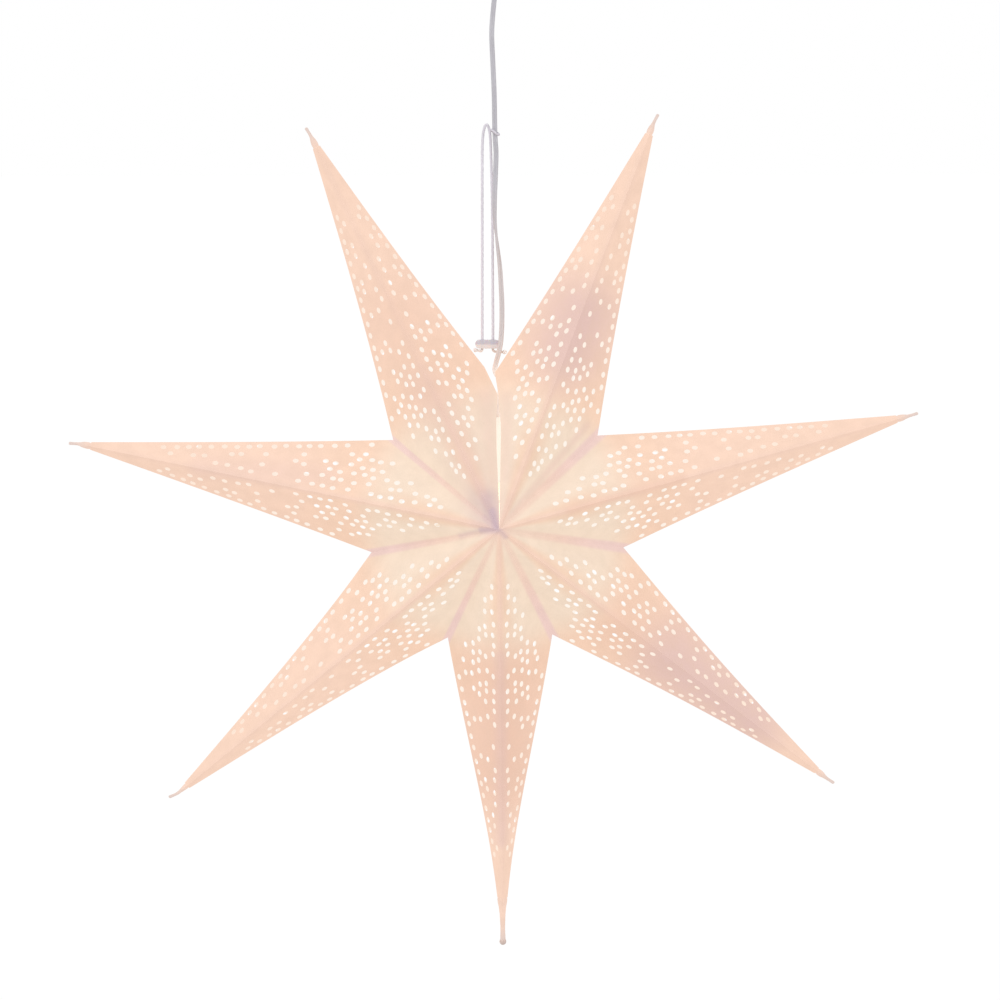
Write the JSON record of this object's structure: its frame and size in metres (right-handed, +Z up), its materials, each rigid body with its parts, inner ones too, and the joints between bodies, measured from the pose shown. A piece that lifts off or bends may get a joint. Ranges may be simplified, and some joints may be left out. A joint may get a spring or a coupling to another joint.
{
  "type": "paper star lantern",
  "caption": "Pointed paper star lantern, pierced with dots and lit from inside by a screw-cap lamp, hung by a cord from a ceiling cup, with a string and slider that close its seam.",
  "frame": {"origin": "centre of the ceiling bracket's top face, on the ceiling, straight above the star's centre", "axes": "+Z up, out of the bracket's top face into the ceiling; +X to the right seen from the front; -Y towards the viewer, square to the star"},
  "size_m": [0.6847, 0.1594, 0.865],
  "materials": {
    "lit_card": "thin white card, lit from inside by a warm lamp",
    "glued_card": "doubled, glued card, darker against the light",
    "bead_resin": "small dull bead",
    "white_cord_sheath": "smooth flexible vinyl, white",
    "white_string": "twisted cotton, white",
    "tied_string": "twisted cotton, seen in shade",
    "slider_plastic": "white moulded plastic",
    "holder_plastic": "white moulded plastic",
    "clamp_plastic": "pale moulded plastic",
    "zinc_screws": "zinc plated",
    "bare_copper": "bare copper strands",
    "holder_ceramic": "unglazed white",
    "contact_brass": "plain brass",
    "lamp_foot_metal": "soldered foot",
    "lamp_insulator_glass": "black glass",
    "lamp_cap_metal": "nickel plated",
    "stem_glass": "clear",
    "filament_metal": "stamped plate",
    "filament_lit": "yellow coated light strips, lit",
    "bulb_glass": "clear",
    "bracket_steel": "zinc plated sheet",
    "cup_plastic": "white moulded plastic",
    "grip_plastic": "white moulded plastic",
    "block_plastic": "ivory moulded plastic",
    "core_sheath": "insulated cores"
  },
  "bodies": {
    "ceiling_fitting": {"ceiling_bracket": "bracket_steel", "ceiling_cup": "cup_plastic", "cup_screws": "zinc_screws", "cord_grip": "grip_plastic", "grip_nut": "grip_plastic", "grip_screw": "zinc_screws", "terminal_block": "block_plastic", "block_screws": "contact_brass", "cup_cores": "core_sheath", "cord_end": "white_cord_sheath"},
    "hanging": {"cord": "white_cord_sheath", "string_loop": "white_string", "string_hitch": "tied_string", "holder_cap": "holder_plastic", "cord_clamp": "clamp_plastic", "clamp_screws": "zinc_screws", "holder_cores": "bare_copper", "holder_insert": "holder_ceramic", "terminal_screws": "contact_brass", "centre_contact": "contact_brass", "screw_sleeve": "contact_brass", "holder_body": "holder_plastic", "point_1": "lit_card", "tail_bead": "bead_resin"},
    "slider": {"slider_bar": "slider_plastic"},
    "lamp_foot": {"lamp_foot": "lamp_foot_metal"},
    "lamp": {"lamp_insulator": "lamp_insulator_glass", "lamp_cap": "lamp_cap_metal", "lamp_stem": "stem_glass", "filament_plate": "filament_metal", "lamp_filaments": "filament_lit", "lamp_glass": "bulb_glass"},
    "left_top": {"point_5": "lit_card", "knot_left": "white_string", "string_foot_left": "white_string", "valley_flap_5": "glued_card"},
    "left_mid": {"point_6": "lit_card", "valley_flap_6": "glued_card"},
    "left_low": {"point_7": "lit_card"},
    "left_valley": {"valley_flap_7": "glued_card"},
    "right_top": {"point_4": "lit_card", "knot_right": "white_string", "string_foot_right": "white_string", "valley_flap_3": "glued_card"},
    "right_mid": {"point_3": "lit_card", "valley_flap_2": "glued_card"},
    "right_low": {"point_2": "lit_card"},
    "right_valley": {"valley_flap_1": "glued_card"}
  },
  "joints": [
    {"name": "lantern_swing", "type": "hinge", "parent": "ceiling_fitting", "child": "hanging", "pos_m": [0, 0, -0.077], "axis": [0, 1, 0], "range_deg": [-15, 15]},
    {"name": "slider_slide", "type": "slide", "parent": "hanging", "child": "slider", "axis": [0, 0, 1], "range_m": [0, 0.11]},
    {"name": "lamp_travel", "type": "slide", "parent": "hanging", "child": "lamp_foot", "axis": [0, 0, -1], "range_m": [0, 0.01553]},
    {"name": "lamp_turn", "type": "hinge", "parent": "lamp_foot", "child": "lamp", "pos_m": [0, 0, -0.515], "axis": [0, 0, -1], "range_deg": [0, 1980]},
    {"name": "fold_left_top", "type": "hinge", "parent": "hanging", "child": "left_top", "pos_m": [0, 0, -0.515], "axis": [0, -1, 0], "range_deg": [0, 12], "deforming": ["string_foot_left"]},
    {"name": "fold_left_mid", "type": "hinge", "parent": "left_top", "child": "left_mid", "pos_m": [0, 0, -0.515], "axis": [0, 1, 0], "range_deg": [0, 4.05], "deforming": ["valley_flap_5"]},
    {"name": "fold_left_low", "type": "hinge", "parent": "left_mid", "child": "left_low", "pos_m": [0, 0, -0.515], "axis": [0, 1, 0], "range_deg": [0, 4.05], "deforming": ["valley_flap_6"]},
    {"name": "fold_left_end", "type": "hinge", "parent": "left_low", "child": "left_valley", "pos_m": [0, 0, -0.515], "axis": [0, 1, 0], "range_deg": [0, 4.05], "deforming": ["valley_flap_7"]},
    {"name": "fold_right_top", "type": "hinge", "parent": "hanging", "child": "right_top", "pos_m": [0, 0, -0.515], "axis": [0, 1, 0], "range_deg": [0, 12.05], "deforming": ["string_foot_right"]},
    {"name": "fold_right_mid", "type": "hinge", "parent": "right_top", "child": "right_mid", "pos_m": [0, 0, -0.515], "axis": [0, -1, 0], "range_deg": [0, 4.05], "deforming": ["valley_flap_3"]},
    {"name": "fold_right_low", "type": "hinge", "parent": "right_mid", "child": "right_low", "pos_m": [0, 0, -0.515], "axis": [0, -1, 0], "range_deg": [0, 4.05], "deforming": ["valley_flap_2"]},
    {"name": "fold_right_end", "type": "hinge", "parent": "right_low", "child": "right_valley", "pos_m": [0, 0, -0.515], "axis": [0, -1, 0], "range_deg": [0, 4.05], "deforming": ["valley_flap_1"]}
  ],
  "couplings": [
    {"joint": "lamp_travel", "follows": "lamp_turn", "m_per_rad": 0.00044913},
    {"joint": "fold_right_top", "follows": "fold_left_top", "ratio": 1},
    {"joint": "fold_left_mid", "follows": "fold_left_top", "ratio": 0.3333},
    {"joint": "fold_left_low", "follows": "fold_left_top", "ratio": 0.3333},
    {"joint": "fold_left_end", "follows": "fold_left_top", "ratio": 0.3333},
    {"joint": "fold_right_mid", "follows": "fold_left_top", "ratio": 0.3333},
    {"joint": "fold_right_low", "follows": "fold_left_top", "ratio": 0.3333},
    {"joint": "fold_right_end", "follows": "fold_left_top", "ratio": 0.3333}
  ]
}
